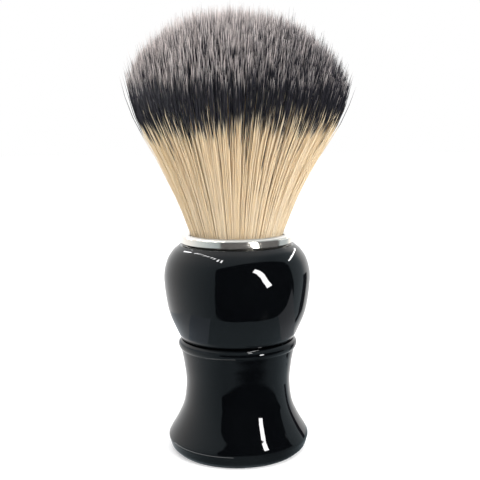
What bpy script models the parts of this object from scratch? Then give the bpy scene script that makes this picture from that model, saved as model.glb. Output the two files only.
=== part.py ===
"""Shaving brush: turned two-part resin handle, chromed collar and a flared, sprung fibre knot.

Metres, +Z up. The origin is the centre of the foot's underside and +Z runs up the brush.
Every piece is a turned body, drawn as an outline of (radius, height) points in the X-Z plane.
"""

import math

import bmesh
import bpy

MM = 0.001
GAP = 0.3 * MM                      # clearance left between neighbouring pieces

# Handle, outside
UNDERSIDE_RADIUS = 15.4 * MM
FOOT_EDGE_RADIUS = 17.5 * MM        # crisp edge between the bottom bevel and the rolled lip
FOOT_EDGE_HEIGHT = 2.4 * MM
LIP_RADIUS = 17.8 * MM
LIP_HEIGHT = 3.6 * MM
WAIST_RADIUS = 13.2 * MM
WAIST_HEIGHT = 17.4 * MM
BEAD_RADIUS = 14.95 * MM
BEAD_HEIGHT = 27.4 * MM
BEAD_UNDER_RADIUS = 14.4 * MM       # where the bead's lower step meets the waist curve
BEAD_UNDER_HEIGHT = 26.2 * MM
GROOVE_RADIUS = 14.25 * MM          # bottom of the shallow V between bead and bulb
JOINT_HEIGHT = 28.5 * MM            # top face of the foot
BULB_RADIUS = 18.35 * MM
BULB_HEIGHT = 43.8 * MM
SHOULDER_RADIUS = 14.4 * MM
BULB_TOP = 52.4 * MM

# Collar
COLLAR_RADIUS = 13.9 * MM
COLLAR_BORE = 12.0 * MM
COLLAR_TOP = 54.7 * MM
COLLAR_EDGE = 0.35 * MM             # rounding of the band's rims
SPIGOT_LENGTH = 5.0 * MM

# Inside the bulb
SOCKET_RADIUS = 12.9 * MM
SOCKET_FLOOR = 34.2 * MM
GLUE_THICKNESS = 1.0 * MM
CUP_WALL = 0.5 * MM
CUP_FLOOR = 0.7 * MM
CUP_TOP = 50.0 * MM
PLUG_THICKNESS = 5.1 * MM
THREAD_WIDTH = 2.4 * MM
THREAD_DEPTH = 0.6 * MM

# Inside the foot
TENON_RADIUS = 7.0 * MM
TENON_END = 20.0 * MM
POCKET_RADIUS = 9.3 * MM
POCKET_ROOF = 13.5 * MM
DISC_RECESS_RADIUS = 10.8 * MM
DISC_THICKNESS = 2.0 * MM

# Fibre knot
KNOT_PIVOT_HEIGHT = 67.0 * MM       # centre of the bend, and of the spherical seat
SEAT_RADIUS = 15.6 * MM             # convex underside of the moving fan
JUNCTION_RADIUS = 12.8 * MM         # where the fan's flank meets its seat
KNOT_NECK_RADIUS = 11.5 * MM        # bundle at the collar's rim
KNOT_FLARE_RADIUS = 28.3 * MM       # widest part of the fan
KNOT_FLARE_HEIGHT = 92.6 * MM
KNOT_TOP = 109.5 * MM

HANDLE_SEGMENTS = 48
INNER_SEGMENTS = 32


def clear_scene():
    for item in list(bpy.data.objects):
        bpy.data.objects.remove(item, do_unlink=True)


def make_material(name, color, roughness, metallic=0.0):
    material = bpy.data.materials.new(name)
    material.use_nodes = True
    shader = material.node_tree.nodes["Principled BSDF"]
    shader.inputs["Base Color"].default_value = (*color, 1.0)
    shader.inputs["Roughness"].default_value = roughness
    shader.inputs["Metallic"].default_value = metallic
    material.diffuse_color = (*color, 1.0)
    return material


def arc(center_radius, center_height, radius, start_deg, end_deg, steps):
    """Points of a circular arc in the outline plane, angles counted from the outward radius."""
    points = []
    for i in range(steps + 1):
        angle = math.radians(start_deg + (end_deg - start_deg) * i / steps)
        points.append((center_radius + radius * math.cos(angle), center_height + radius * math.sin(angle)))
    return points


def smooth_through(points, steps):
    """A Catmull-Rom curve through the points, each stretch cut into equal steps."""
    first = tuple(2 * a - b for a, b in zip(points[0], points[1]))
    last = tuple(2 * a - b for a, b in zip(points[-1], points[-2]))
    padded = [first, *points, last]
    curve = []
    for p0, p1, p2, p3 in zip(padded, padded[1:], padded[2:], padded[3:]):
        for i in range(steps):
            t = i / steps
            curve.append(tuple(
                0.5 * (2 * b + (c - a) * t + (2 * a - 5 * b + 4 * c - d) * t ** 2
                       + (3 * b - a - 3 * c + d) * t ** 3)
                for a, b, c, d in zip(p0, p1, p2, p3)))
    curve.append(points[-1])
    return curve


def sphere_height(center_height, radius, at_radius):
    """Height of the lower half of a sphere on the axis, at a distance from the axis."""
    return center_height - math.sqrt(radius ** 2 - at_radius ** 2)


def turned(name, outline, material, segments, closed=False):
    """Spin an outline about the Z axis. It runs anticlockwise: up the outside, down the inside."""
    mesh = bpy.data.meshes.new(name)
    bm = bmesh.new()
    rings = []
    for radius, height in outline:
        if radius < 1e-7:
            rings.append([bm.verts.new((0.0, 0.0, height))])
            continue
        ring = []
        for i in range(segments):
            angle = 2 * math.pi * i / segments
            ring.append(bm.verts.new((radius * math.cos(angle), radius * math.sin(angle), height)))
        rings.append(ring)
    followers = rings[1:] + (rings[:1] if closed else [])
    for lower, upper in zip(rings, followers):
        for i in range(segments):
            j = (i + 1) % segments
            corners = [lower[i % len(lower)], lower[j % len(lower)], upper[j % len(upper)], upper[i % len(upper)]]
            bm.faces.new(list(dict.fromkeys(corners)))
    bm.to_mesh(mesh)
    bm.free()
    mesh.materials.append(material)
    mesh.shade_smooth()
    mesh.set_sharp_from_angle(angle=math.radians(35))
    item = bpy.data.objects.new(name, mesh)
    bpy.context.collection.objects.link(item)
    return item


def tube_outline(inner, outer, bottom, top):
    return [(inner, bottom), (outer, bottom), (outer, top), (inner, top)]


def disc_outline(radius, bottom, top):
    return [(0.0, bottom), (radius, bottom), (radius, top), (0.0, top)]


def make_handle_foot(material):
    """Lower handle: bevelled underside, rolled lip, waisted grip and the thin bead on top."""
    bevel = smooth_through([
        (UNDERSIDE_RADIUS, 0.0),
        (16.95 * MM, 1.0 * MM),
        (FOOT_EDGE_RADIUS, FOOT_EDGE_HEIGHT),
    ], 2)
    grip = smooth_through([
        (FOOT_EDGE_RADIUS, FOOT_EDGE_HEIGHT),
        (LIP_RADIUS, LIP_HEIGHT),
        (17.35 * MM, 4.8 * MM),
        (15.4 * MM, 8.2 * MM),
        (13.8 * MM, 12.1 * MM),
        (WAIST_RADIUS, WAIST_HEIGHT),
        (13.7 * MM, 22.4 * MM),
        (BEAD_UNDER_RADIUS, BEAD_UNDER_HEIGHT),
    ], 3)
    bead = smooth_through([
        (BEAD_UNDER_RADIUS + 0.25 * MM, BEAD_UNDER_HEIGHT + 0.1 * MM),
        (BEAD_RADIUS, BEAD_HEIGHT - 0.4 * MM),
        (BEAD_RADIUS - 0.05 * MM, BEAD_HEIGHT + 0.4 * MM),
        (GROOVE_RADIUS, JOINT_HEIGHT),
    ], 3)
    mortise = TENON_RADIUS + GAP
    inside = [(mortise, JOINT_HEIGHT), (mortise, TENON_END - GAP), (0.0, TENON_END - GAP)]
    pocket = [
        (0.0, POCKET_ROOF),
        (POCKET_RADIUS, POCKET_ROOF),
        (POCKET_RADIUS, DISC_THICKNESS + 2 * GAP),
        (DISC_RECESS_RADIUS, DISC_THICKNESS + 2 * GAP),
        (DISC_RECESS_RADIUS, 0.0),
    ]
    outline = pocket + bevel + grip[1:] + bead + inside
    return turned("handle_foot", outline, material, HANDLE_SEGMENTS)


def make_handle_bulb(material):
    """Upper handle: round grip with the knot socket above and the joining tenon below."""
    shoulder_step = JOINT_HEIGHT + GAP
    tenon = [
        (0.0, TENON_END),
        (TENON_RADIUS, TENON_END),
        (TENON_RADIUS, shoulder_step),
    ]
    bulb = smooth_through([
        (GROOVE_RADIUS - 0.05 * MM, shoulder_step),
        (15.4 * MM, 31.2 * MM),
        (17.35 * MM, 36.2 * MM),
        (BULB_RADIUS, BULB_HEIGHT),
        (17.65 * MM, 48.2 * MM),
        (16.1 * MM, 50.9 * MM),
        (SHOULDER_RADIUS, BULB_TOP),
    ], 4)
    socket = [
        (SOCKET_RADIUS, BULB_TOP),
        (SOCKET_RADIUS, SOCKET_FLOOR),
        (0.0, SOCKET_FLOOR),
    ]
    return turned("handle_bulb", tenon + bulb + socket, material, HANDLE_SEGMENTS)


def make_ballast_weight(material):
    """Steel slug that weights the foot, dropped into its pocket from below."""
    bottom = DISC_THICKNESS + 3 * GAP
    return turned("ballast_weight", disc_outline(POCKET_RADIUS - GAP, bottom, POCKET_ROOF - GAP),
                  material, INNER_SEGMENTS)


def make_base_disc(material):
    """Disc that closes the ballast pocket, recessed a little so that the foot's rim carries the brush."""
    return turned("base_disc", disc_outline(DISC_RECESS_RADIUS - GAP, GAP, GAP + DISC_THICKNESS),
                  material, INNER_SEGMENTS)


def make_collar_ring(material):
    """Chromed collar: a spigot pressed into the socket's mouth and a visible band with rounded rims."""
    band_bottom = BULB_TOP + GAP
    spigot_radius = SOCKET_RADIUS - GAP
    outline = [(COLLAR_BORE, band_bottom - SPIGOT_LENGTH), (spigot_radius, band_bottom - SPIGOT_LENGTH),
               (spigot_radius, band_bottom)]
    outline += arc(COLLAR_RADIUS - COLLAR_EDGE, band_bottom + COLLAR_EDGE, COLLAR_EDGE, -90, 0, 3)
    outline += arc(COLLAR_RADIUS - COLLAR_EDGE, COLLAR_TOP - COLLAR_EDGE, COLLAR_EDGE, 0, 90, 4)
    outline += arc(COLLAR_BORE + COLLAR_EDGE, COLLAR_TOP - COLLAR_EDGE, COLLAR_EDGE, 90, 180, 3)
    return turned("collar_ring", outline, material, HANDLE_SEGMENTS, closed=True)


def make_glue_bed(material):
    """Cast resin between the socket's floor and the knot cup."""
    bottom = SOCKET_FLOOR + GAP
    return turned("glue_bed", disc_outline(SOCKET_RADIUS - GAP, bottom, bottom + GLUE_THICKNESS),
                  material, INNER_SEGMENTS)


def cup_bottom():
    return SOCKET_FLOOR + 2 * GAP + GLUE_THICKNESS


def make_knot_cup(material):
    """Thin cup that the bound fibre roots are set into."""
    outer = COLLAR_BORE - GAP
    inner = outer - CUP_WALL
    outline = [
        (0.0, cup_bottom()),
        (outer, cup_bottom()),
        (outer, CUP_TOP),
        (inner, CUP_TOP),
        (inner, cup_bottom() + CUP_FLOOR),
        (0.0, cup_bottom() + CUP_FLOOR),
    ]
    return turned("knot_cup", outline, material, INNER_SEGMENTS)


def root_radius():
    return COLLAR_BORE - 2 * GAP - CUP_WALL


def plug_top():
    return cup_bottom() + CUP_FLOOR + GAP + PLUG_THICKNESS


def make_root_plug(material):
    """Epoxy puck that holds the fibre ends together."""
    return turned("root_plug", disc_outline(root_radius(), plug_top() - PLUG_THICKNESS, plug_top()),
                  material, INNER_SEGMENTS)


def make_binding_thread(material):
    """Waxed thread wound round the bundle just above the epoxy, drawn as one flat band."""
    bottom = plug_top() + 2 * GAP
    outer = root_radius()
    return turned("binding_thread", tube_outline(outer - THREAD_DEPTH, outer, bottom, bottom + THREAD_WIDTH),
                  material, INNER_SEGMENTS, closed=True)


def make_knot_root(material):
    """Fixed lower part of the fibre bundle, with the hollow seat that the fan bends on."""
    bottom = plug_top() + GAP
    pinched = root_radius() - THREAD_DEPTH - GAP
    thread_top = bottom + GAP + THREAD_WIDTH
    bowl_radius = SEAT_RADIUS + GAP
    side = [
        (0.0, bottom),
        (pinched, bottom),
        (pinched, thread_top + GAP),
        (root_radius(), thread_top + 3 * GAP),
        (root_radius(), CUP_TOP),
        (KNOT_NECK_RADIUS, COLLAR_TOP),
    ]
    bowl = []
    for i in range(7):
        radius = JUNCTION_RADIUS * (1 - i / 6)
        bowl.append((radius, sphere_height(KNOT_PIVOT_HEIGHT, bowl_radius, radius)))
    return turned("knot_root", side + bowl, material, INNER_SEGMENTS)


def make_knot_fan(material):
    """Moving upper part of the fibre bundle: a flared fan with a domed top, turning on a ball-shaped seat."""
    seat = []
    for i in range(7):
        radius = JUNCTION_RADIUS * i / 6
        seat.append((radius, sphere_height(KNOT_PIVOT_HEIGHT, SEAT_RADIUS, radius)))
    fan = smooth_through([
        seat[-1],
        (15.1 * MM, 64.3 * MM),
        (19.2 * MM, 73.0 * MM),
        (25.5 * MM, 85.8 * MM),
        (KNOT_FLARE_RADIUS, KNOT_FLARE_HEIGHT),
        (27.0 * MM, 96.2 * MM),
        (22.6 * MM, 101.4 * MM),
        (13.2 * MM, 107.1 * MM),
        (0.0, KNOT_TOP),
    ], 3)
    pivot = bpy.data.objects.new("knot_pivot", None)
    pivot.location = (0.0, 0.0, KNOT_PIVOT_HEIGHT)
    bpy.context.collection.objects.link(pivot)
    outline = [(radius, height - KNOT_PIVOT_HEIGHT) for radius, height in seat[:-1] + fan]
    item = turned("knot_fan", outline, material, INNER_SEGMENTS)
    item.parent = pivot
    return item


def main():
    clear_scene()
    black_resin = make_material("black_resin", (0.010, 0.012, 0.014), 0.12)
    chrome = make_material("chrome", (0.78, 0.78, 0.77), 0.12, 1.0)
    cream_fibre = make_material("cream_fibre", (0.74, 0.62, 0.44), 0.55)
    banded_fibre = make_material("banded_fibre", (0.30, 0.28, 0.28), 0.60)
    steel = make_material("ballast_steel", (0.45, 0.45, 0.46), 0.45, 1.0)
    black_plastic = make_material("black_plastic", (0.025, 0.025, 0.027), 0.55)
    cup_plastic = make_material("cup_plastic", (0.70, 0.68, 0.62), 0.50)
    epoxy = make_material("epoxy", (0.55, 0.40, 0.18), 0.30)
    waxed_thread = make_material("waxed_thread", (0.80, 0.76, 0.66), 0.70)

    make_handle_foot(black_resin)
    make_handle_bulb(black_resin)
    make_ballast_weight(steel)
    make_base_disc(black_plastic)
    make_collar_ring(chrome)
    make_glue_bed(epoxy)
    make_knot_cup(cup_plastic)
    make_root_plug(epoxy)
    make_binding_thread(waxed_thread)
    make_knot_root(cream_fibre)
    make_knot_fan(banded_fibre)


main()
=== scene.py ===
"""Looks of the shaving brush: fine turned handle and collar, a knot of separate fibres, studio and camera.

Everything is in metres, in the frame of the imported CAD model: origin under the foot, +Z up the brush.
"""
import math

import bpy
import numpy as np
from mathutils import Euler, Matrix, Vector, noise


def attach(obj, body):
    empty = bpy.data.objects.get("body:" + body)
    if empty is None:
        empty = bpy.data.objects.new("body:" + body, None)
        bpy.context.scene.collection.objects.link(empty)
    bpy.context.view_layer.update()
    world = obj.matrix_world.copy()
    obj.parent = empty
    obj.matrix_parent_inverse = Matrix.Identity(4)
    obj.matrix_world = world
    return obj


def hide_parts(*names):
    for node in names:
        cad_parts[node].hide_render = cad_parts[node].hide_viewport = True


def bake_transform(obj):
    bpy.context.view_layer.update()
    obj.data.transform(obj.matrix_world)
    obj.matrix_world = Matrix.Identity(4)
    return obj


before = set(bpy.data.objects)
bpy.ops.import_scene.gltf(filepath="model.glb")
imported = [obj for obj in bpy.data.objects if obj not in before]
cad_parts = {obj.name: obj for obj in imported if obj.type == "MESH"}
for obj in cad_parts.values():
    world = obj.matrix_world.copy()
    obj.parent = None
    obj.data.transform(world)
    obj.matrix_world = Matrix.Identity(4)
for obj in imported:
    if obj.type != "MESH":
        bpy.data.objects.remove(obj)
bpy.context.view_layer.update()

MM = 0.001
SEED = 11

# ---------------------------------------------------------------------------------------------
# Node helpers
# ---------------------------------------------------------------------------------------------


def new_material(name):
    """A material with its node tree and its Principled shader."""
    material = bpy.data.materials.new(name)
    material.use_nodes = True
    tree = material.node_tree
    return material, tree, tree.nodes["Principled BSDF"]


def link(tree, source, target):
    tree.links.new(source, target)


def math_node(tree, operation, a, b=None, c=None, clamp=False):
    """A Math node; numbers go into its sockets and sockets are linked."""
    node = tree.nodes.new("ShaderNodeMath")
    node.operation = operation
    node.use_clamp = clamp
    for socket, value in zip(node.inputs, (a, b, c)):
        if value is None:
            continue
        if isinstance(value, (int, float)):
            socket.default_value = value
        else:
            tree.links.new(value, socket)
    return node.outputs[0]


def map_range(tree, value, from_min, from_max, to_min=0.0, to_max=1.0, smooth=False):
    node = tree.nodes.new("ShaderNodeMapRange")
    node.interpolation_type = "SMOOTHSTEP" if smooth else "LINEAR"
    limits = {"From Min": from_min, "From Max": from_max, "To Min": to_min, "To Max": to_max}
    for name, number in limits.items():
        node.inputs[name].default_value = number
    tree.links.new(value, node.inputs["Value"])
    return node.outputs["Result"]


def mix_color(tree, factor, a, b, blend="MIX"):
    node = tree.nodes.new("ShaderNodeMix")
    node.data_type = "RGBA"
    node.blend_type = blend
    for socket, value in ((node.inputs[0], factor), (node.inputs[6], a), (node.inputs[7], b)):
        if isinstance(value, (int, float)):
            socket.default_value = value
        elif isinstance(value, tuple):
            socket.default_value = (*value, 1.0)
        else:
            tree.links.new(value, socket)
    return node.outputs[2]


def noise_field(tree, scale, detail=2.0, stretch=(1, 1, 1), roughness=0.5):
    """Noise over the object's own metres, so that it stays with the piece in every view and pose."""
    coords = tree.nodes.new("ShaderNodeTexCoord")
    mapping = tree.nodes.new("ShaderNodeMapping")
    mapping.inputs["Scale"].default_value = stretch
    field = tree.nodes.new("ShaderNodeTexNoise")
    field.inputs["Scale"].default_value = scale
    field.inputs["Detail"].default_value = detail
    field.inputs["Roughness"].default_value = roughness
    tree.links.new(coords.outputs["Object"], mapping.inputs["Vector"])
    tree.links.new(mapping.outputs["Vector"], field.inputs["Vector"])
    return field.outputs["Fac"]


def components(tree, vector):
    """The X, Y and Z sockets of a vector."""
    node = tree.nodes.new("ShaderNodeSeparateXYZ")
    tree.links.new(vector, node.inputs[0])
    return node.outputs


def vector_math(tree, operation, vector):
    node = tree.nodes.new("ShaderNodeVectorMath")
    node.operation = operation
    tree.links.new(vector, node.inputs[0])
    return node.outputs


def mix_shader(tree, factor, a, b):
    """Two shaders mixed into the material's surface."""
    node = tree.nodes.new("ShaderNodeMixShader")
    if isinstance(factor, (int, float)):
        node.inputs[0].default_value = factor
    else:
        tree.links.new(factor, node.inputs[0])
    tree.links.new(a, node.inputs[1])
    tree.links.new(b, node.inputs[2])
    tree.links.new(node.outputs[0], tree.nodes["Material Output"].inputs["Surface"])


def bump(tree, shader, height, strength, distance):
    node = tree.nodes.new("ShaderNodeBump")
    node.inputs["Strength"].default_value = strength
    node.inputs["Distance"].default_value = distance
    tree.links.new(height, node.inputs["Height"])
    tree.links.new(node.outputs["Normal"], shader.inputs["Normal"])


# ---------------------------------------------------------------------------------------------
# Materials
# ---------------------------------------------------------------------------------------------


RESIN_COLORS = (0.0007, 0.0009, 0.0012), (0.0016, 0.0019, 0.0023)
RESIN_ROUGHNESS = 0.02, 0.055
RESIN_IOR = 1.5
CHROME_COLORS = (0.93, 0.88, 0.80), (0.99, 0.95, 0.88)
CHROME_ROUGHNESS = 0.10, 0.16
CHROME_METALLIC = 0.94


def black_resin():
    """Polished black resin: faint blue clouding in the colour and hair-fine polishing marks."""
    material, tree, shader = new_material("black_resin_polished")
    cloud = noise_field(tree, 140, 3)
    link(tree, mix_color(tree, cloud, *RESIN_COLORS), shader.inputs["Base Color"])
    marks = noise_field(tree, 420, 3, (1, 1, 0.35))
    link(tree, map_range(tree, marks, 0.35, 0.75, *RESIN_ROUGHNESS), shader.inputs["Roughness"])
    bump(tree, shader, noise_field(tree, 900, 2), 0.05, 0.00003)
    shader.inputs["IOR"].default_value = RESIN_IOR
    return material


def turned_chrome():
    """Chrome plate over a turned ring: fine rings round the axis under a mirror polish."""
    material, tree, shader = new_material("chrome_polished")
    shader.inputs["Metallic"].default_value = CHROME_METALLIC
    tint = noise_field(tree, 300, 2)
    link(tree, mix_color(tree, tint, *CHROME_COLORS), shader.inputs["Base Color"])
    rings = noise_field(tree, 260, 4, (0.6, 0.6, 26), 0.65)
    link(tree, map_range(tree, rings, 0.3, 0.7, *CHROME_ROUGHNESS), shader.inputs["Roughness"])
    bump(tree, shader, rings, 0.10, 0.00002)
    return material


def fibre_material():
    """Banded synthetic fibre. u picks tuft and fibre, v is the distance from the tip over BAND_LENGTH."""
    material, tree, shader = new_material("banded_fibre_strands")
    uv = tree.nodes.new("ShaderNodeUVMap")
    uv.uv_map = UV_NAME
    parts = components(tree, uv.outputs["UV"])
    column = math_node(tree, "FLOOR", math_node(tree, "MULTIPLY", parts["X"], float(COLUMNS)))
    tuft = math_node(tree, "FLOOR", math_node(tree, "DIVIDE", column, float(FIBRE_KINDS)))
    from_tip = math_node(tree, "MULTIPLY", parts["Y"], BAND_LENGTH / MM)

    def random_value(source, offset):
        white = tree.nodes.new("ShaderNodeTexWhiteNoise")
        white.noise_dimensions = "1D"
        link(tree, math_node(tree, "ADD", source, offset), white.inputs["W"])
        return white.outputs["Value"]

    def toward_tip(start):
        """1 on the tip's side of a place on the fibre, 0 on the collar's side, blurred in between."""
        past = math_node(tree, "SUBTRACT", from_tip, start)
        return map_range(tree, past, BAND_BLUR, -BAND_BLUR, smooth=True)

    def tuft_and_fibre(offset):
        """A random value that neighbours in a tuft nearly share."""
        common = math_node(tree, "MULTIPLY", random_value(tuft, offset), TUFT_WEIGHT)
        own = math_node(tree, "MULTIPLY", random_value(column, offset), 1.0 - TUFT_WEIGHT)
        return math_node(tree, "ADD", common, own)

    shade, warmth, stray = (random_value(column, 0.137 + 300.0 * i) for i in range(3))
    band_in, band_out = tuft_and_fibre(1000.137), tuft_and_fibre(1300.137)

    cream = mix_color(tree, warmth, CREAM_WARM, CREAM_PALE)
    cream = mix_color(tree, map_range(tree, shade, 0.0, SHADED_BELOW, SHADED_MOST, 0.0), cream, CREAM_SHADE)
    dark = mix_color(tree, shade, DARK_LOW, DARK_HIGH)
    tip = mix_color(tree, shade, TIP_LOW, TIP_HIGH)
    tip = mix_color(tree, map_range(tree, warmth, 0.0, 1.0, 0.0, 0.5), tip, TIP_WARM)

    long_streak = map_range(tree, stray, STREAKS_FROM, 1.0, 0.0, STREAK_LENGTH)
    dark_from = math_node(tree, "ADD", map_range(tree, band_in, 0.0, 1.0, *DARK_START), long_streak)
    tip_from = map_range(tree, math_node(tree, "POWER", band_out, TIP_SKEW), 0.0, 1.0, *TIP_START)
    color = mix_color(tree, toward_tip(tip_from), mix_color(tree, toward_tip(dark_from), cream, dark), tip)
    link(tree, color, shader.inputs["Base Color"])
    link(tree, map_range(tree, shade, 0.0, 1.0, *FIBRE_ROUGHNESS), shader.inputs["Roughness"])
    shader.inputs["Specular IOR Level"].default_value = FIBRE_SPECULAR
    through = tree.nodes.new("ShaderNodeBsdfTranslucent")
    link(tree, color, through.inputs["Color"])
    mix_shader(tree, SEE_THROUGH, shader.outputs[0], through.outputs[0])
    return material


ROUGHNESS_SPREAD = 0.08


def plain_stock(name, low, high, roughness, metallic=0.0, scale=260, stretch=(1, 1, 1), relief=0.00004):
    """A hidden or underside piece: two tones mixed by noise, uneven roughness and a light relief."""
    material, tree, shader = new_material(name)
    field = noise_field(tree, scale, 4, stretch)
    link(tree, mix_color(tree, field, low, high), shader.inputs["Base Color"])
    rough = map_range(tree, field, 0.3, 0.7, roughness - ROUGHNESS_SPREAD, roughness + ROUGHNESS_SPREAD)
    link(tree, rough, shader.inputs["Roughness"])
    bump(tree, shader, field, 0.35, relief)
    shader.inputs["Metallic"].default_value = metallic
    return material


# ---------------------------------------------------------------------------------------------
# Turned pieces, refined from the CAD outlines
# ---------------------------------------------------------------------------------------------

CORNER_ANGLE = math.radians(30)
CURVE_STEP = 0.22 * MM
FILLET = 0.16 * MM
LATHE_SEGMENTS = 192
POLISH_WAVES = 0.012 * MM           # height of the waves that hand polishing leaves
BROAD_WAVE = 6.5 * MM
FINE_WAVE = 2.6 * MM
FINE_WAVE_SHARE = 0.35
WAVE_STRETCH = 0.55                 # below 1, the waves are longer along the axis than round it
ON_AXIS = 1e-7


def cad_outline(node):
    """The (radius, height) outline of a turned CAD node, walked along its edges in the +X half-plane."""
    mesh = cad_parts[node].data
    names = {}
    for vertex in mesh.vertices:
        if abs(vertex.co.y) < 1e-6 and vertex.co.x > -1e-6:
            names[vertex.index] = (round(vertex.co.x, 6), round(vertex.co.z, 6))
    neighbours = {}
    for edge in mesh.edges:
        a, b = (names.get(i) for i in edge.vertices)
        if a is not None and b is not None and a != b:
            neighbours.setdefault(a, set()).add(b)
            neighbours.setdefault(b, set()).add(a)
    ends = sorted(p for p, around in neighbours.items() if len(around) == 1)
    closed = not ends
    start = min(neighbours, key=lambda p: (p[1], -p[0])) if closed else min(ends, key=lambda p: p[1])
    outline, previous, here = [start], None, start
    while True:
        choices = [p for p in neighbours[here] if p != previous]
        if not choices or (closed and len(outline) > 2 and start in choices):
            break
        step = max(choices, key=lambda p: p[0]) if previous is None else choices[0]
        outline.append(step)
        previous, here = here, step
    return outline, closed


def turn_angle(a, b, c):
    first = math.atan2(b[1] - a[1], b[0] - a[0])
    second = math.atan2(c[1] - b[1], c[0] - b[0])
    return abs((second - first + math.pi) % (2 * math.pi) - math.pi)


def catmull_rom(points):
    """Points every CURVE_STEP or so on a smooth curve through the given ones."""
    if len(points) == 2:
        return points
    padded = [2 * points[0] - points[1], *points, 2 * points[-1] - points[-2]]
    curve = []
    for p0, p1, p2, p3 in zip(padded, padded[1:], padded[2:], padded[3:]):
        steps = max(2, int((p2 - p1).length / CURVE_STEP))
        for i in range(steps):
            t = i / steps
            curve.append(0.5 * (2 * p1 + (p2 - p0) * t + (2 * p0 - 5 * p1 + 4 * p2 - p3) * t * t
                                + (3 * p1 - p0 - 3 * p2 + p3) * t ** 3))
    curve.append(points[-1])
    return curve


def fillet(before, corner, after):
    """Three points that take the sharpness off a corner."""
    reach = min(FILLET, 0.4 * (before - corner).length, 0.4 * (after - corner).length)
    a = corner + (before - corner).normalized() * reach
    b = corner + (after - corner).normalized() * reach
    return [a, 0.25 * a + 0.5 * corner + 0.25 * b, b]


def refined_outline(node):
    """The CAD outline with its curved stretches made smooth and its corners slightly eased."""
    outline, closed = cad_outline(node)
    count = len(outline)
    points = [Vector(p) for p in outline]

    def corner(i):
        if not closed and i in (0, count - 1):
            return True
        return turn_angle(outline[i - 1], outline[i], outline[(i + 1) % count]) > CORNER_ANGLE

    corners = [i for i in range(count) if corner(i)]
    stops = list(zip(corners, corners[1:] + ([corners[0] + count] if closed else [])))
    runs = [catmull_rom([points[i % count] for i in range(a, b + 1)]) for a, b in stops]
    fine = []
    for n, run in enumerate(runs):
        following = runs[(n + 1) % len(runs)] if closed or n + 1 < len(runs) else None
        fine += run[1:-1] if n or closed else run[:-1]
        if following is not None:
            fine += fillet(run[-2], run[-1], following[1])
        else:
            fine.append(run[-1])
    return fine, closed


def lathe(name, node, waviness=0.0):
    """A fine turned body on a CAD node's outline, with a hand-polished surface when waviness is set."""
    outline, closed = refined_outline(node)
    angles = np.linspace(0, 2 * math.pi, LATHE_SEGMENTS, endpoint=False)
    vertices, rings = [], []
    for radius, height in outline:
        first = len(vertices)
        if radius < ON_AXIS:
            vertices.append((0.0, 0.0, height))
            rings.append([first] * LATHE_SEGMENTS)
            continue
        for angle in angles:
            direction = Vector((math.cos(angle), math.sin(angle), 0.0))
            swell = 0.0
            if waviness:
                place = Vector((direction.x * radius, direction.y * radius, height * WAVE_STRETCH))
                swell = waviness * noise.noise(place / BROAD_WAVE)
                swell += FINE_WAVE_SHARE * waviness * noise.noise(place / FINE_WAVE + Vector((7, 3, 1)))
            vertices.append((direction.x * (radius + swell), direction.y * (radius + swell), height))
        rings.append(list(range(first, first + LATHE_SEGMENTS)))
    faces = []
    for lower, upper in zip(rings, rings[1:] + (rings[:1] if closed else [])):
        for i in range(LATHE_SEGMENTS):
            j = (i + 1) % LATHE_SEGMENTS
            faces.append(tuple(dict.fromkeys((lower[i], lower[j], upper[j], upper[i]))))
    mesh = bpy.data.meshes.new(name)
    mesh.from_pydata(vertices, [], faces)
    mesh.validate()
    mesh.shade_smooth()
    item = bpy.data.objects.new(name, mesh)
    bpy.context.scene.collection.objects.link(item)
    return item


def make_handle():
    resin = black_resin()
    for node in ("handle_foot", "handle_bulb"):
        piece = lathe(node + "_fine", node, waviness=POLISH_WAVES)
        piece.data.materials.append(resin)
        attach(piece, "handle")
        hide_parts(node)


def make_collar():
    piece = lathe("collar_ring_fine", "collar_ring")
    piece.data.materials.append(turned_chrome())
    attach(piece, "handle")
    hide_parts("collar_ring")


def finish_cad_nodes():
    """The pieces that keep their CAD shape get a finish of their own."""
    finishes = {
        "base_disc": plain_stock("base_disc_plastic", (0.018, 0.018, 0.020), (0.034, 0.034, 0.036), 0.58,
                                 scale=900),
        "ballast_weight": plain_stock("turned_steel", (0.36, 0.36, 0.37), (0.50, 0.50, 0.51), 0.40, 1.0,
                                      stretch=(0.4, 0.4, 14)),
        "glue_bed": plain_stock("glue", (0.46, 0.33, 0.14), (0.60, 0.45, 0.22), 0.30, scale=180),
        "knot_cup": plain_stock("cup_moulding", (0.64, 0.62, 0.56), (0.74, 0.72, 0.66), 0.50, scale=500),
        "root_plug": plain_stock("root_epoxy", (0.50, 0.36, 0.15), (0.62, 0.46, 0.22), 0.28, scale=150),
        "binding_thread": plain_stock("waxed_thread_turns", (0.66, 0.61, 0.50), (0.86, 0.82, 0.72), 0.70,
                                      stretch=(0.3, 0.3, 9), relief=0.00012),
    }
    for node, material in finishes.items():
        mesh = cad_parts[node].data
        mesh.materials.clear()
        mesh.materials.append(material)


# ---------------------------------------------------------------------------------------------
# The fibre knot
# ---------------------------------------------------------------------------------------------

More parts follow.
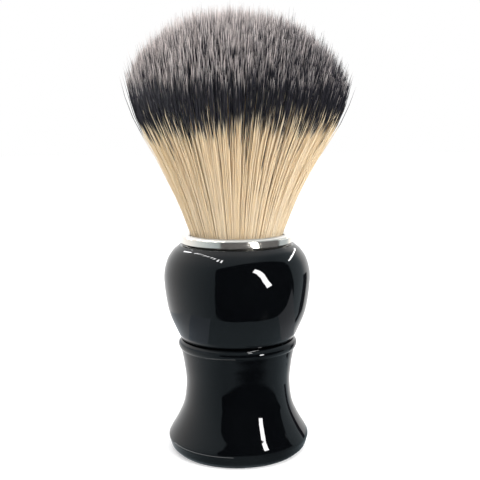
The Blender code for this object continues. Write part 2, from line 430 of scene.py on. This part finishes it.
UV_NAME = "OFBake"
COLUMNS = 1024                      # kinds of tuft times kinds of fibre, each a column of the UV square
FIBRE_KINDS = 16                    # kinds of fibre within a tuft
TUFT_WEIGHT = 0.6                   # how far the fibres of a tuft agree on where their bands lie
BAND_LENGTH = 70 * MM               # length that v = 1 stands for
DARK_START = (7.4, 15.2)            # mm from the tip where cream turns dark
TIP_START = (0.7, 4.0)              # mm from the tip where dark turns to the pale tip
TIP_SKEW = 2.1                      # how much commoner short pale tips are than long ones
BAND_SLANT = 0.06                   # how much nearer the tips the bands lie on the +X side, mm per mm
BAND_BLUR = 1.3                     # mm either side of a change of colour
STREAKS_FROM = 0.95                 # share of the fibres beyond which the dark runs on towards the collar
STREAK_LENGTH = 13.0                # mm
CREAM_WARM = (0.93, 0.80, 0.58)
CREAM_PALE = (0.96, 0.86, 0.68)
CREAM_SHADE = (0.88, 0.73, 0.51)
DARK_LOW = (0.011, 0.012, 0.018)
DARK_HIGH = (0.050, 0.048, 0.062)
TIP_LOW = (0.60, 0.55, 0.54)
TIP_HIGH = (0.98, 0.94, 0.92)
TIP_WARM = (0.82, 0.71, 0.67)
SHADED_BELOW = 0.16                 # share of the cream fibres that are duller, and by how much at most
SHADED_MOST = 0.45
FIBRE_ROUGHNESS = 0.42, 0.60
FIBRE_SPECULAR = 0.25
SEE_THROUGH = 0.56                  # share of the light that passes into a fibre and out behind

FIBRES = 20000
OUTER_SHARE = 0.80                  # fibres beyond this share of the radius are seen from end to end
OUTER_PIECES = 3
INNER_PIECES = 3
FIBRE_RADIUS = 0.092 * MM
PACKED_EXTRA = 0.045 * MM           # how much thicker the fibres are drawn where they lie packed
PACKED_FROM = (11 * MM, 30 * MM)    # distances from the tip over which that sets in
TIP_RADIUS = 0.014 * MM
TAPER = 8 * MM                      # length over which a fibre narrows to its tip
TAPER_POWER = 0.7

# neighbouring tips that lean together: (how many tufts, how far their fibres are drawn in, and the least and
# the spread of what single tufts do of that)
FINE_TUFTS = (4200, 0.70, 0.5, 0.9)
BROAD_TUFTS = (600, 0.22, 0.3, 1.3)
TUFT_SCATTER = 0.3                  # share of the mean way between tufts
TUFT_LENGTH = 0.60                  # mm, how much longer or shorter whole tufts are
FIBRE_LENGTH = 0.80                 # mm, the same for single fibres
KNOT_RADIUS = 27.2                  # mm, at the outermost tips
DOME_TILT = 0.04                    # how much lower the tips stand on the +X side, mm per mm
DOME_TOP = 108.5                    # mm
DOME_FALLS = ((14.3, 2.6), (2.7, 12.0))     # mm that the outermost tips lie lower, and the curve's power
TURN_SCATTER = 0.08                 # radians
SHARE_SCATTER = 0.004               # share of the radius
SHORTER_SHARE = 0.35                # fibres that end below the rest, and by how much, mm
SHORTER_BY = 1.8
LEAN = 0.35                         # mm at the tip
STRAY_SHARE = 0.015
STRAY_LEAN = 1.5                    # mm
WAVE = 0.07                         # mm
KNOT_LEAN = 0.7                     # mm that the tips stand towards +X
SPLAY = 13                          # mm outward per share of the free length, past its end
GATHER_POWER = 5                    # tufts draw together near the tips only
FLYAWAY_POWER = 1.5
LEAN_POWER = 2.2                    # a fibre's own bend sets in lower down
FLYAWAY_FROM = 0.93                 # share of the radius beyond which fibres may stand off the flank
FLYAWAY_SHARE = (0.025, 0.07)        # how many do, and how many more towards +X
FLYAWAY_REACH = (0.2, 1.5)          # mm

# heights and radii of the bundle's flank above the collar, mm
FLANK_HEIGHTS = (54.7, 58.1, 64.3, 73.0, 84.2, 89.0, 91.5)
FLANK_RADII = (11.4, 12.65, 15.1, 19.3, 25.3, 26.7, 27.2)

# inside the cup and up to the collar's rim, mm
ROOT_HEIGHTS = (43.4, 47.0, 50.5, 54.7)
ROOT_RADII = (9.9, 10.8, 11.0, 11.4)
OUTER_STEPS = 8                     # stretches of a fibre above the rim
INNER_STEPS = 4
RIM_HEIGHT = ROOT_HEIGHTS[-1]


def flank_radius(t):
    """Outer radius of the bundle, in mm, at a share t of the free length."""
    heights = np.array(FLANK_HEIGHTS)
    shares = (heights - heights[0]) / (heights[-1] - heights[0])
    radii = np.array(FLANK_RADII)
    slopes = np.gradient(radii, shares)
    i = np.clip(np.searchsorted(shares, t) - 1, 0, len(shares) - 2)
    width = shares[i + 1] - shares[i]
    s = (t - shares[i]) / width
    return ((1 + 2 * s) * (1 - s) ** 2 * radii[i] + s * (1 - s) ** 2 * width * slopes[i]
            + s * s * (3 - 2 * s) * radii[i + 1] + s * s * (s - 1) * width * slopes[i + 1])


def dome_height(share):
    """Height of a tip, in mm, at a share of the knot's full radius."""
    return DOME_TOP - sum(fall * share ** power for fall, power in DOME_FALLS)


def golden_spread(count, start=0.0):
    """Evenly spread places on a unit disc, (share of the radius, angle)."""
    order = np.arange(count)
    return np.sqrt((order + 0.5) / count), order * math.pi * (3 - math.sqrt(5)) + start


def gather(tips, tufts, random, start):
    """The nearest of some evenly spread tuft centres to each tip: (its number, the way to it in mm)."""
    share, turn = golden_spread(tufts, start)
    centres = np.stack([np.cos(turn), np.sin(turn)], axis=1) * (share * KNOT_RADIUS)[:, None]
    centres += random.normal(0, TUFT_SCATTER * KNOT_RADIUS / math.sqrt(tufts), centres.shape)
    nearest = np.empty(len(tips), int)
    for first in range(0, len(tips), 500):
        block = tips[first:first + 500]
        nearest[first:first + 500] = ((block[:, None] - centres[None]) ** 2).sum(2).argmin(1)
    return nearest, centres[nearest] - tips


def fibre_paths(random):
    """Centre lines in metres, (fibre, point, xyz), each fibre's column, and which fibres are outer ones."""
    share, turn = golden_spread(FIBRES)
    turn = turn + random.normal(0, TURN_SCATTER, FIBRES)
    share = np.clip(share + random.normal(0, SHARE_SCATTER, FIBRES), 0, 1.0)
    across = np.stack([np.cos(turn), np.sin(turn)], axis=1)
    roots = [np.concatenate([across * (share * radius)[:, None], np.full((FIBRES, 1), height)], axis=1)
             for height, radius in zip(ROOT_HEIGHTS, ROOT_RADII)]

    tips = across * (share * KNOT_RADIUS)[:, None]
    full = dome_height(share) - DOME_TILT * tips[:, 0] - RIM_HEIGHT
    fine_count, fine_draw, fine_least, fine_spread = FINE_TUFTS
    broad_count, broad_draw, broad_least, broad_spread = BROAD_TUFTS
    fine, fine_pull = gather(tips, fine_count, random, 1.0)
    broad, broad_pull = gather(tips, broad_count, random, 2.0)
    fine_pull *= (fine_draw * (fine_least + fine_spread * random.random(fine_count))[fine])[:, None]
    broad_pull *= (broad_draw * (broad_least + broad_spread * random.random(broad_count))[broad])[:, None]
    length = full + random.normal(0, TUFT_LENGTH, fine_count)[fine]
    length = length + random.normal(0, FIBRE_LENGTH, FIBRES)
    length -= np.abs(random.normal(0, SHORTER_BY, FIBRES)) * (random.random(FIBRES) < SHORTER_SHARE)

    # each fibre also bends a little by itself, and a few stand off from the rest
    lean = random.normal(0, LEAN, (FIBRES, 2))
    strays = random.random(FIBRES) < STRAY_SHARE
    lean[strays] += random.normal(0, STRAY_LEAN, (strays.sum(), 2))
    chance = FLYAWAY_SHARE[0] + FLYAWAY_SHARE[1] * np.clip(across[:, 0], 0, 1)
    flyaway = (share > FLYAWAY_FROM) * (random.random(FIBRES) < chance)
    off = (flyaway * random.uniform(*FLYAWAY_REACH, FIBRES))[:, None] * across
    steps = np.linspace(0, 1, OUTER_STEPS + 1)[1:]
    wave = random.normal(0, WAVE, (FIBRES, OUTER_STEPS, 2))
    free = np.empty((FIBRES, OUTER_STEPS, 3))
    for n, t in enumerate(steps):
        reach = t * length / full
        radius = share * (flank_radius(np.clip(reach, 0, 1)) + SPLAY * np.clip(reach - 1, 0, None))
        free[:, n, :2] = across * radius[:, None] + (fine_pull + broad_pull) * t ** GATHER_POWER
        free[:, n, :2] += lean * t ** LEAN_POWER
        free[:, n, :2] += off * t ** FLYAWAY_POWER + wave[:, n] * min(1.0, 2.5 * t)
        free[:, n, 0] += KNOT_LEAN * t ** 2
        free[:, n, 2] = RIM_HEIGHT + t * length
    kinds = random.integers(0, COLUMNS // FIBRE_KINDS, fine_count)[fine]
    columns = kinds * FIBRE_KINDS + random.integers(0, FIBRE_KINDS, FIBRES)
    return np.concatenate([np.stack(roots, axis=1), free], axis=1) * MM, columns, share > OUTER_SHARE


GOLDEN_ANGLE = 2.399963             # spreads the strands' flat sides over all directions


def strand_mesh(name, paths, columns):
    """Closed three-sided tapered strands. U is the fibre's column, V its place in the bands."""
    count, points = paths.shape[:2]
    sides = 3
    stretch = np.linalg.norm(np.diff(paths, axis=1), axis=2)
    from_tip = np.concatenate([np.cumsum(stretch[:, ::-1], axis=1)[:, ::-1], np.zeros((count, 1))], axis=1)
    radius = TIP_RADIUS + (FIBRE_RADIUS - TIP_RADIUS) * np.clip(from_tip / TAPER, 0, 1) ** TAPER_POWER
    radius += PACKED_EXTRA * np.clip((from_tip - PACKED_FROM[0]) / (PACKED_FROM[1] - PACKED_FROM[0]), 0, 1)
    tangent = np.gradient(paths, axis=1)
    tangent /= np.linalg.norm(tangent, axis=2, keepdims=True)
    spin = columns[:, None] * GOLDEN_ANGLE
    reference = np.stack([np.cos(spin), np.sin(spin), np.zeros_like(spin)], axis=2)
    first = np.cross(tangent, np.broadcast_to(reference, tangent.shape))
    first /= np.linalg.norm(first, axis=2, keepdims=True)
    second = np.cross(tangent, first)
    ring = []
    for k in range(sides):
        angle = 2 * math.pi * k / sides
        ring.append(paths + radius[:, :, None] * (math.cos(angle) * first + math.sin(angle) * second))
    vertices = np.stack(ring, axis=2).reshape(-1, 3)

    base = (np.arange(count) * points * sides)[:, None, None]
    along = (np.arange(points - 1) * sides)[None, :, None]
    around = np.arange(sides)[None, None, :]
    following = (around + 1) % sides
    lower = base + along
    upper = lower + sides
    quads = np.stack([lower + around, lower + following, upper + following, upper + around], axis=3)
    quads = quads.reshape(-1, 4)
    start = np.arange(count)[:, None] * points * sides
    root_cap = start + np.array([[2, 1, 0]])
    tip_cap = start + (points - 1) * sides + np.array([[0, 1, 2]])
    loops = np.concatenate([quads.ravel(), root_cap.ravel(), tip_cap.ravel()])
    sizes = np.concatenate([np.full(len(quads), 4), np.full(2 * count, 3)])
    starts = np.concatenate([[0], np.cumsum(sizes)[:-1]])

    mesh = bpy.data.meshes.new(name)
    mesh.vertices.add(len(vertices))
    mesh.vertices.foreach_set("co", vertices.astype(np.float32).ravel())
    mesh.loops.add(len(loops))
    mesh.loops.foreach_set("vertex_index", loops.astype(np.int32))
    mesh.polygons.add(len(sizes))
    mesh.polygons.foreach_set("loop_start", starts.astype(np.int32))
    mesh.polygons.foreach_set("loop_total", sizes.astype(np.int32))
    mesh.update(calc_edges=True)
    mesh.shade_smooth()

    u = np.repeat((columns + 0.5) / COLUMNS, points * sides)
    band = from_tip + BAND_SLANT * paths[:, -1:, 0]
    v = np.clip(np.repeat(band.ravel(), sides) / BAND_LENGTH, 0, 1)
    layer = mesh.uv_layers.new(name=UV_NAME)
    layer.data.foreach_set("uv", np.stack([u[loops], v[loops]], axis=1).astype(np.float32).ravel())
    return mesh


def make_knot():
    random = np.random.default_rng(SEED)
    paths, columns, outer = fibre_paths(random)
    material = fibre_material()
    rim = len(ROOT_HEIGHTS) - 1
    inner_points = [0, rim]
    inner_points += [rim + OUTER_STEPS * (n + 1) // INNER_STEPS for n in range(INNER_STEPS)]
    groups = [(paths[outer][n::OUTER_PIECES], columns[outer][n::OUTER_PIECES]) for n in range(OUTER_PIECES)]
    groups += [(paths[~outer][n::INNER_PIECES][:, inner_points], columns[~outer][n::INNER_PIECES])
               for n in range(INNER_PIECES)]
    for n, (lines, kinds) in enumerate(groups):
        mesh = strand_mesh(f"knot_fibres_{n + 1}", lines, kinds)
        mesh.materials.append(material)
        piece = bpy.data.objects.new(mesh.name, mesh)
        bpy.context.scene.collection.objects.link(piece)
        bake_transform(piece)
        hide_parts("knot_root", "knot_fan")
        piece.visible_glossy = False        # the handle's shoulder mirrors no knot in the photograph


# ---------------------------------------------------------------------------------------------
# Studio and camera
# ---------------------------------------------------------------------------------------------

CAMERA_DISTANCE = 202.6 * MM
CAMERA_HEIGHT = 79.5 * MM
CAMERA_PITCH = math.radians(7.39)
CAMERA_ROLL = math.radians(-0.5)
CAMERA_ASIDE = 0.81 * MM
FOCAL_LENGTH = 61.1                 # on a 36 mm sensor


def make_camera():
    data = bpy.data.cameras.new("camera")
    data.sensor_width = 36.0
    data.lens = FOCAL_LENGTH
    data.clip_start = 0.01
    data.clip_end = 20
    camera = bpy.data.objects.new("camera", data)
    camera.location = (CAMERA_ASIDE, -CAMERA_DISTANCE, CAMERA_HEIGHT)
    look = Euler((math.pi / 2 - CAMERA_PITCH, 0, 0)).to_matrix() @ Matrix.Rotation(CAMERA_ROLL, 3, "Z")
    camera.rotation_euler = look.to_euler()
    bpy.context.scene.collection.objects.link(camera)
    bpy.context.scene.camera = camera


# levels of the room that the gloss mirrors: in front, at the sides, what is added behind, and the share that
# is left of them on the right
ROOM_FRONT = 0.26
ROOM_SIDE = 0.84
ROOM_BACK = 0.26
ROOM_RIGHT = 0.48
ROOM_SLATE = (0.80, 0.98, 1.08)     # tint of the dim parts


def room_level(tree, x, y):
    """Brightness mirrored from a direction: slate in front, pale behind, duller on the right."""
    level = math_node(tree, "ADD", map_range(tree, y, -0.9, 0.3, ROOM_FRONT, ROOM_SIDE),
                      map_range(tree, y, 0.3, 0.9, 0.0, ROOM_BACK))
    right = math_node(tree, "MULTIPLY", map_range(tree, x, 0.2, 0.7, smooth=True),
                      map_range(tree, y, 0.80, 0.50, smooth=True))
    return math_node(tree, "MULTIPLY", level, map_range(tree, right, 0.0, 1.0, 1.0, ROOM_RIGHT))


def room_color(tree, level):
    """Slate blue where it is dim, neutral where it is bright."""
    tint = mix_color(tree, map_range(tree, level, 0.3, 0.85), ROOM_SLATE, (1.0, 1.0, 1.0))
    return mix_color(tree, 1.0, tint, level, "MULTIPLY")


# a dark doorway behind the camera, which the gloss mirrors
WINDOW_TURN = math.radians(32)      # where its middle is, from the camera's side
WINDOW_SIDES = (-2.13, 2.02)        # tangents of its edges' angles from its middle
WINDOW_LEAN = 0.26                  # how much further out its left side is higher up
WINDOW_TOP = 1.48                   # tangent of its top's height
WINDOW_BLUR = 0.10
WINDOW_RIGHT_BLUR = 0.15
WINDOW_FLOOR = (42 * MM, 52 * MM)   # where its image on the floor begins, in front of the brush
WINDOW_FLOOR_SLANT = 0.45           # how much nearer that is further right
WINDOW_COLOR = (0.010, 0.011, 0.014)


def dark_window(tree, x, y, z):
    """1 inside the doorway's outline, 0 outside, for a direction, or a place on the floor if z is None."""
    ahead = math_node(tree, "SUBTRACT", math_node(tree, "MULTIPLY", x, math.sin(WINDOW_TURN)),
                      math_node(tree, "MULTIPLY", y, math.cos(WINDOW_TURN)))
    aside = math_node(tree, "ADD", math_node(tree, "MULTIPLY", x, math.cos(WINDOW_TURN)),
                      math_node(tree, "MULTIPLY", y, math.sin(WINDOW_TURN)))
    safe = math_node(tree, "MAXIMUM", ahead, 1e-5)
    slant = math_node(tree, "DIVIDE", aside, safe)
    rise = math_node(tree, "DIVIDE", z, safe, clamp=True) if z is not None else 0.0
    leaning = math_node(tree, "ADD", slant, math_node(tree, "MULTIPLY", rise, WINDOW_LEAN))
    left, right = WINDOW_SIDES
    inside_left = map_range(tree, leaning, left - WINDOW_BLUR, left + WINDOW_BLUR, smooth=True)
    inside_right = map_range(tree, slant, right + WINDOW_RIGHT_BLUR, right - WINDOW_RIGHT_BLUR, smooth=True)
    mask = math_node(tree, "MULTIPLY", inside_left, inside_right)
    if z is not None:
        height = math_node(tree, "DIVIDE", z, safe)
        under_top = map_range(tree, height, WINDOW_TOP + WINDOW_BLUR, WINDOW_TOP - WINDOW_BLUR, smooth=True)
        mask = math_node(tree, "MULTIPLY", mask, under_top)
    return math_node(tree, "MULTIPLY", mask, map_range(tree, ahead, 0.0, 0.01))


AMBIENT = 1.0
FLOOR_LIFT = 0.22                   # glow that brings the floor's picture up to white
FLOOR_SIDE = 3.0
FLOOR_DROP = 0.05 * MM              # keeps the floor's face off the foot's
FLOOR_COLORS = (0.84, 0.84, 0.85), (0.88, 0.88, 0.88)
FOOT_SHADOW_REACH = (16 * MM, 34 * MM)      # painted shadow round the foot in the mirrored floor: where it fades out as the floor brightens, and its level at the foot
FOOT_SHADOW_LEVEL = 0.90


def make_floor():
    """Pale floor. The camera sees it white but for the brush's shadow; the gloss sees a painted reflection on
    it instead, a dimmed picture of the room.
    """
    side = FLOOR_SIDE
    mesh = bpy.data.meshes.new("floor")
    corners = [(-side, -side, 0), (side, -side, 0), (side, side, 0), (-side, side, 0)]
    mesh.from_pydata(corners, [], [(0, 1, 2, 3)])
    floor = bpy.data.objects.new("floor", mesh)
    floor.location.z = -FLOOR_DROP
    bpy.context.scene.collection.objects.link(floor)
    material, tree, shader = new_material("pale_floor")
    link(tree, mix_color(tree, noise_field(tree, 60, 2), *FLOOR_COLORS), shader.inputs["Base Color"])
    shader.inputs["Roughness"].default_value = 0.9
    shader.inputs["Specular IOR Level"].default_value = 0.0
    path = tree.nodes.new("ShaderNodeLightPath")
    shader.inputs["Emission Color"].default_value = (1, 1, 1, 1)
    link(tree, math_node(tree, "MULTIPLY", path.outputs["Is Camera Ray"], FLOOR_LIFT),
         shader.inputs["Emission Strength"])

    place = tree.nodes.new("ShaderNodeTexCoord").outputs["Object"]
    spot = components(tree, place)
    direction = components(tree, vector_math(tree, "NORMALIZE", place)["Vector"])
    room = room_color(tree, room_level(tree, direction["X"], direction["Y"]))
    distance = vector_math(tree, "LENGTH", place)["Value"]
    # painted shadow: the mirrored floor is darkened round the foot, in place of the foot's contact shadow
    painted_foot_shadow = map_range(tree, distance, *FOOT_SHADOW_REACH, FOOT_SHADOW_LEVEL, 1.0, smooth=True)
    room = mix_color(tree, 1.0, room, painted_foot_shadow, "MULTIPLY")
    ahead = math_node(tree, "SUBTRACT", math_node(tree, "MULTIPLY", spot["X"], WINDOW_FLOOR_SLANT), spot["Y"])
    window = math_node(tree, "MULTIPLY", dark_window(tree, spot["X"], spot["Y"], None),
                       map_range(tree, ahead, *WINDOW_FLOOR, smooth=True))
    # painted reflection: glossy rays see the floor glow with the dimmed room, the doorway's dark image and
    # the painted shadow round the foot
    mirrored = tree.nodes.new("ShaderNodeEmission")
    link(tree, mix_color(tree, window, room, WINDOW_COLOR), mirrored.inputs["Color"])
    mix_shader(tree, path.outputs["Is Glossy Ray"], shader.outputs[0], mirrored.outputs[0])
    mesh.materials.append(material)


def make_world():
    """White surround. The gloss mirrors a slate room with a dark doorway in front and pale walls behind."""
    world = bpy.data.worlds.new("studio")
    bpy.context.scene.world = world
    world.use_nodes = True
    tree = world.node_tree
    background = tree.nodes["Background"]
    way = components(tree, tree.nodes.new("ShaderNodeTexCoord").outputs["Generated"])
    room = room_color(tree, room_level(tree, way["X"], way["Y"]))
    mirrored = mix_color(tree, dark_window(tree, way["X"], way["Y"], way["Z"]), room, WINDOW_COLOR)
    path = tree.nodes.new("ShaderNodeLightPath")
    surround = mix_color(tree, path.outputs["Is Camera Ray"], (AMBIENT, AMBIENT, AMBIENT), (1.0, 1.0, 1.0))
    surround = mix_color(tree, path.outputs["Is Glossy Ray"], surround, mirrored)
    link(tree, surround, background.inputs["Color"])
    background.inputs["Strength"].default_value = 1.0


# Shapes that only the gloss shows. Azimuths are in degrees from the camera's side, and radii, heights and
# widths in mm.

# bright strips: name, width, strength, and points (azimuth, radius, height)
GLINTS = (
    ("bulb_crescent", 3.7, 26.0,
     ((20, 32, 56.0), (25, 32, 54.1), (29, 32, 51.1), (31.5, 32, 46.7), (36, 32, 42.2))),
    ("shoulder_arc", 1.1, 22.0,
     ((124, 30, 60.5), (108, 30, 61.5), (98, 30, 61.2), (87, 30, 61.0), (77, 30, 59.7))),
    ("left_line", 1.7, 18.0, ((-115, 32, 68.1), (-111, 32, 72.3), (-107, 32, 77.5))),
    ("foot_streak", 4.6, 26.0, ((38, 40, 17.2), (38, 40, 21.0), (38, 40, 24.6))),
)

# a row of bright dots that carries on from the left line, (azimuth, height)
LINE_DOTS = (
    (-101, 84.0), (-96, 88.3), (-89, 92.2), (-76, 91.7), (-64, 90.3), (-52, 87.9), (-43, 84.2), (-33, 79.7),
    (-26, 77.8),
)
DOT_RADIUS = 32
DOT_SHARE = 0.22                    # half a dot's turn over the turn to its nearest neighbour
DOT_RISE = 3.4                      # above and below a dot's middle
DOT_STRENGTH = 22.0

# level cards under the round grip: name, colour, height, inner radius and (azimuth, outer radius). The slate
# ones cut off the doorway, and the dark one hides the foot's streak from the grip
# the cards glow in their colour and only the gloss shows them: painted slate reflections, and the dark one a
# painted dark patch
CARDS = (
    ("card_far_left", (0.66, 0.70, 0.74), 28.5, 15.3, ((-120, 33), (-80, 32), (-62, 31.4))),
    ("card_left", (0.42, 0.48, 0.55), 28.5, 15.3, ((-62, 31.4), (-50, 31), (-32, 29))),
    ("card_right", (0.24, 0.30, 0.33), 28.5, 15.3,
     ((-32, 29), (-20, 28), (12, 26.8), (36, 27.3), (52, 30.3))),
    ("card_far_right", (0.42, 0.44, 0.47), 28.5, 15.3,
     ((52, 30.3), (62, 34.5), (70, 40), (78, 53), (84, 70))),
    ("card_dark", WINDOW_COLOR, 28.2, 20, ((14, 62), (36, 62), (52, 62), (64, 62))),
)

# a dark post behind the brush on the right, a painted dark reflection that only the gloss shows, (height,
# half its width in degrees)
POST_TURN = 116
POST_RADIUS = 60
POST_HALVES = ((0, 4), (14, 4), (18, 7), (43, 7))
POST_COLOR = (0.04, 0.04, 0.05)

# a glowing ring on the floor beside the foot that only the gloss shows: a painted highlight that the foot's
# sharp edge catches
EDGE_TURNS = (-85, -5)
EDGE_RADII = (22.3, 23.6)
EDGE_HEIGHT = 0.1
EDGE_RUNGS = 17
EDGE_STRENGTH = 5.0
WHITE = (1, 1, 1)


def around_axis(azimuth, radius, height):
    """A place given in degrees from the camera's side and in mm."""
    angle = math.radians(azimuth)
    return Vector((math.sin(angle) * radius, -math.cos(angle) * radius, height)) * MM


def reflector(name, vertices, faces, color, strength):
    """A surface that only the gloss shows: it glows in its colour, a painted highlight or painted reflection.
    """
    mesh = bpy.data.meshes.new(name)
    mesh.from_pydata(vertices, [], faces)
    material = bpy.data.materials.new(name)
    material.use_nodes = True
    tree = material.node_tree
    tree.nodes.clear()
    glow = tree.nodes.new("ShaderNodeEmission")
    glow.inputs["Color"].default_value = (*color, 1.0)
    glow.inputs["Strength"].default_value = strength
    output = tree.nodes.new("ShaderNodeOutputMaterial")
    link(tree, glow.outputs[0], output.inputs["Surface"])
    mesh.materials.append(material)
    item = bpy.data.objects.new(name, mesh)
    for ray in ("camera", "diffuse", "transmission", "volume_scatter", "shadow"):
        setattr(item, "visible_" + ray, False)
    bpy.context.scene.collection.objects.link(item)


def ladder(name, rungs, color, strength):
    """A reflector between the pairs of places given."""
    vertices = [place for rung in rungs for place in rung]
    faces = [(2 * n, 2 * n + 1, 2 * n + 3, 2 * n + 2) for n in range(len(rungs) - 1)]
    reflector(name, vertices, faces, color, strength)


def make_glints():
    """Bright strips and dots, level cards, a dark post and the glow at the foot's edge."""
    for name, width, strength, points in GLINTS:
        middle = [around_axis(*point) for point in points]
        rungs = []
        for n, point in enumerate(middle):
            along = (middle[min(n + 1, len(middle) - 1)] - middle[max(n - 1, 0)]).normalized()
            outward = Vector((point.x, point.y, 0)).normalized()
            aside = along.cross(outward).normalized() * (0.5 * width * MM)
            rungs.append((point - aside, point + aside))
        ladder(name, rungs, WHITE, strength)
    dots = []
    for azimuth, height in LINE_DOTS:
        half = DOT_SHARE * min(abs(azimuth - other) for other, _ in LINE_DOTS if other != azimuth)
        corners = ((-half, -DOT_RISE), (half, -DOT_RISE), (half, DOT_RISE), (-half, DOT_RISE))
        dots += [around_axis(azimuth + turn, DOT_RADIUS, height + rise) for turn, rise in corners]
    faces = [tuple(range(n, n + 4)) for n in range(0, len(dots), 4)]
    reflector("line_dots", dots, faces, WHITE, DOT_STRENGTH)
    for name, color, height, inner, edge in CARDS:
        rungs = [(around_axis(turn, inner, height), around_axis(turn, outer, height)) for turn, outer in edge]
        ladder(name, rungs, color, 1.0)
    rungs = [tuple(around_axis(POST_TURN + side * half, POST_RADIUS, height) for side in (-1, 1))
             for height, half in POST_HALVES]
    ladder("dark_post", rungs, POST_COLOR, 1.0)
    rungs = [tuple(around_axis(turn, radius, EDGE_HEIGHT) for radius in EDGE_RADII)
             for turn in np.linspace(*EDGE_TURNS, EDGE_RUNGS)]
    ladder("edge_glow", rungs, WHITE, EDGE_STRENGTH)


# soft boxes that light the fibres and that the gloss doesn't show: name, place, size and power
LAMPS = (
    ("top_soft", (0.05, -0.10, 0.9), (0.9, 0.9), 4.0),
    ("left_soft", (-0.75, -0.45, 0.45), (0.6, 0.8), 3.0),
    ("right_soft", (0.60, -0.65, 0.40), (0.5, 0.7), 9.0),
)
LAMP_TARGET = Vector((0, 0, 0.06))


def make_lights():
    for name, place, size, power in LAMPS:
        data = bpy.data.lights.new(name, "AREA")
        data.shape = "RECTANGLE"
        data.size, data.size_y = size
        data.energy = power
        lamp = bpy.data.objects.new(name, data)
        lamp.location = place
        lamp.rotation_euler = (LAMP_TARGET - Vector(place)).to_track_quat("-Z", "Y").to_euler()
        lamp.visible_glossy = False
        bpy.context.scene.collection.objects.link(lamp)


make_camera()
make_floor()
make_world()
make_lights()
make_glints()
make_handle()
make_collar()
finish_cad_nodes()
make_knot()

view = bpy.context.scene.view_settings
view.view_transform = "Standard"
